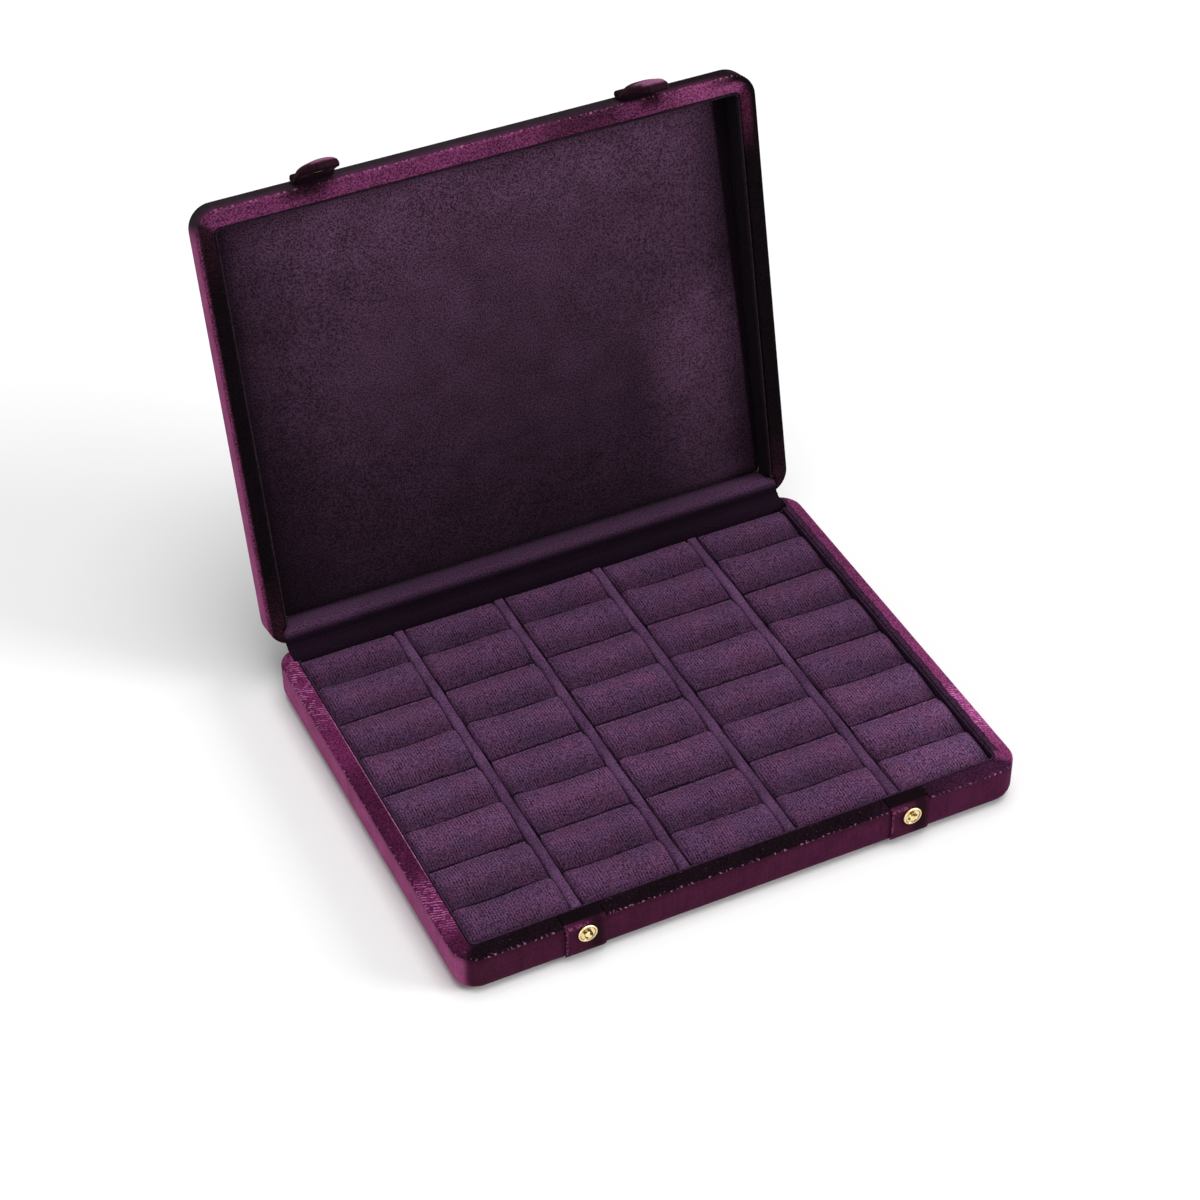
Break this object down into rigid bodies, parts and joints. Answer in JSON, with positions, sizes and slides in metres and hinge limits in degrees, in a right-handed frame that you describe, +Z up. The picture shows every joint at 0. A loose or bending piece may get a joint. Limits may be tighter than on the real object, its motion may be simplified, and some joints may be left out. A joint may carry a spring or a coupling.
{
  "type": "ring case",
  "caption": "Flat velvet-covered case that holds rings in slit pads, with a cloth-hinged lid and snap straps.",
  "frame": {"origin": "centre of the flat underside of the base, on the surface that the case lies on", "axes": "+Z up; -Y towards the front edge with the press studs, +Y towards the cloth hinge; +X along the hinge to the right"},
  "size_m": [0.25, 0.2614, 0.2319],
  "materials": {
    "velvet": "deep magenta velvet, brushed pile",
    "lining_suede": "dark purple flocked suede, matt",
    "pad_suede": "grey-purple ribbed velour, matt",
    "board": "grey-brown pressed board, raw",
    "pale_gold": "pale gold plated, polished"
  },
  "bodies": {
    "base": {"base_core": "board", "base_velvet_cover": "velvet", "base_bottom_sheet": "lining_suede", "base_side_lining": "lining_suede", "insert_board": "board", "ring_pad_row1_column1": "pad_suede", "ring_pad_row1_column2": "pad_suede", "ring_pad_row1_column3": "pad_suede", "ring_pad_row1_column4": "pad_suede", "ring_pad_row1_column5": "pad_suede", "ring_pad_row2_column1": "pad_suede", "ring_pad_row2_column2": "pad_suede", "ring_pad_row2_column3": "pad_suede", "ring_pad_row2_column4": "pad_suede", "ring_pad_row2_column5": "pad_suede", "ring_pad_row3_column1": "pad_suede", "ring_pad_row3_column2": "pad_suede", "ring_pad_row3_column3": "pad_suede", "ring_pad_row3_column4": "pad_suede", "ring_pad_row3_column5": "pad_suede", "ring_pad_row4_column1": "pad_suede", "ring_pad_row4_column2": "pad_suede", "ring_pad_row4_column3": "pad_suede", "ring_pad_row4_column4": "pad_suede", "ring_pad_row4_column5": "pad_suede", "column_divider_1": "pad_suede", "column_divider_2": "pad_suede", "column_divider_3": "pad_suede", "column_divider_4": "pad_suede", "base_spine_cloth": "velvet", "base_hinge_gusset": "lining_suede", "left_snap_patch": "velvet", "left_snap_stud": "pale_gold", "left_snap_post": "pale_gold", "right_snap_patch": "velvet", "right_snap_stud": "pale_gold", "right_snap_post": "pale_gold"},
    "lid": {"lid_core": "board", "lid_velvet_cover": "velvet", "lid_side_lining": "lining_suede", "lid_padded_panel": "lining_suede", "lid_spine_cloth": "velvet", "lid_hinge_gusset": "lining_suede", "left_strap_anchor": "velvet", "right_strap_anchor": "velvet"},
    "left_strap": {"left_strap_tab": "velvet", "left_snap_socket": "pale_gold"},
    "right_strap": {"right_strap_tab": "velvet", "right_snap_socket": "pale_gold"}
  },
  "joints": [
    {"name": "lid_hinge", "type": "hinge", "parent": "base", "child": "lid", "pos_m": [0, 0.0995, 0.02], "axis": [1, 0, 0], "range_deg": [0, 102.9]},
    {"name": "left_strap_flex", "type": "hinge", "parent": "lid", "child": "left_strap", "pos_m": [-0.0723, 0.1485, 0.21601], "axis": [1, 0, 0], "range_deg": [-60, 26.5]},
    {"name": "right_strap_flex", "type": "hinge", "parent": "lid", "child": "right_strap", "pos_m": [0.0723, 0.1485, 0.21601], "axis": [1, 0, 0], "range_deg": [-69.8, 16.7]}
  ]
}
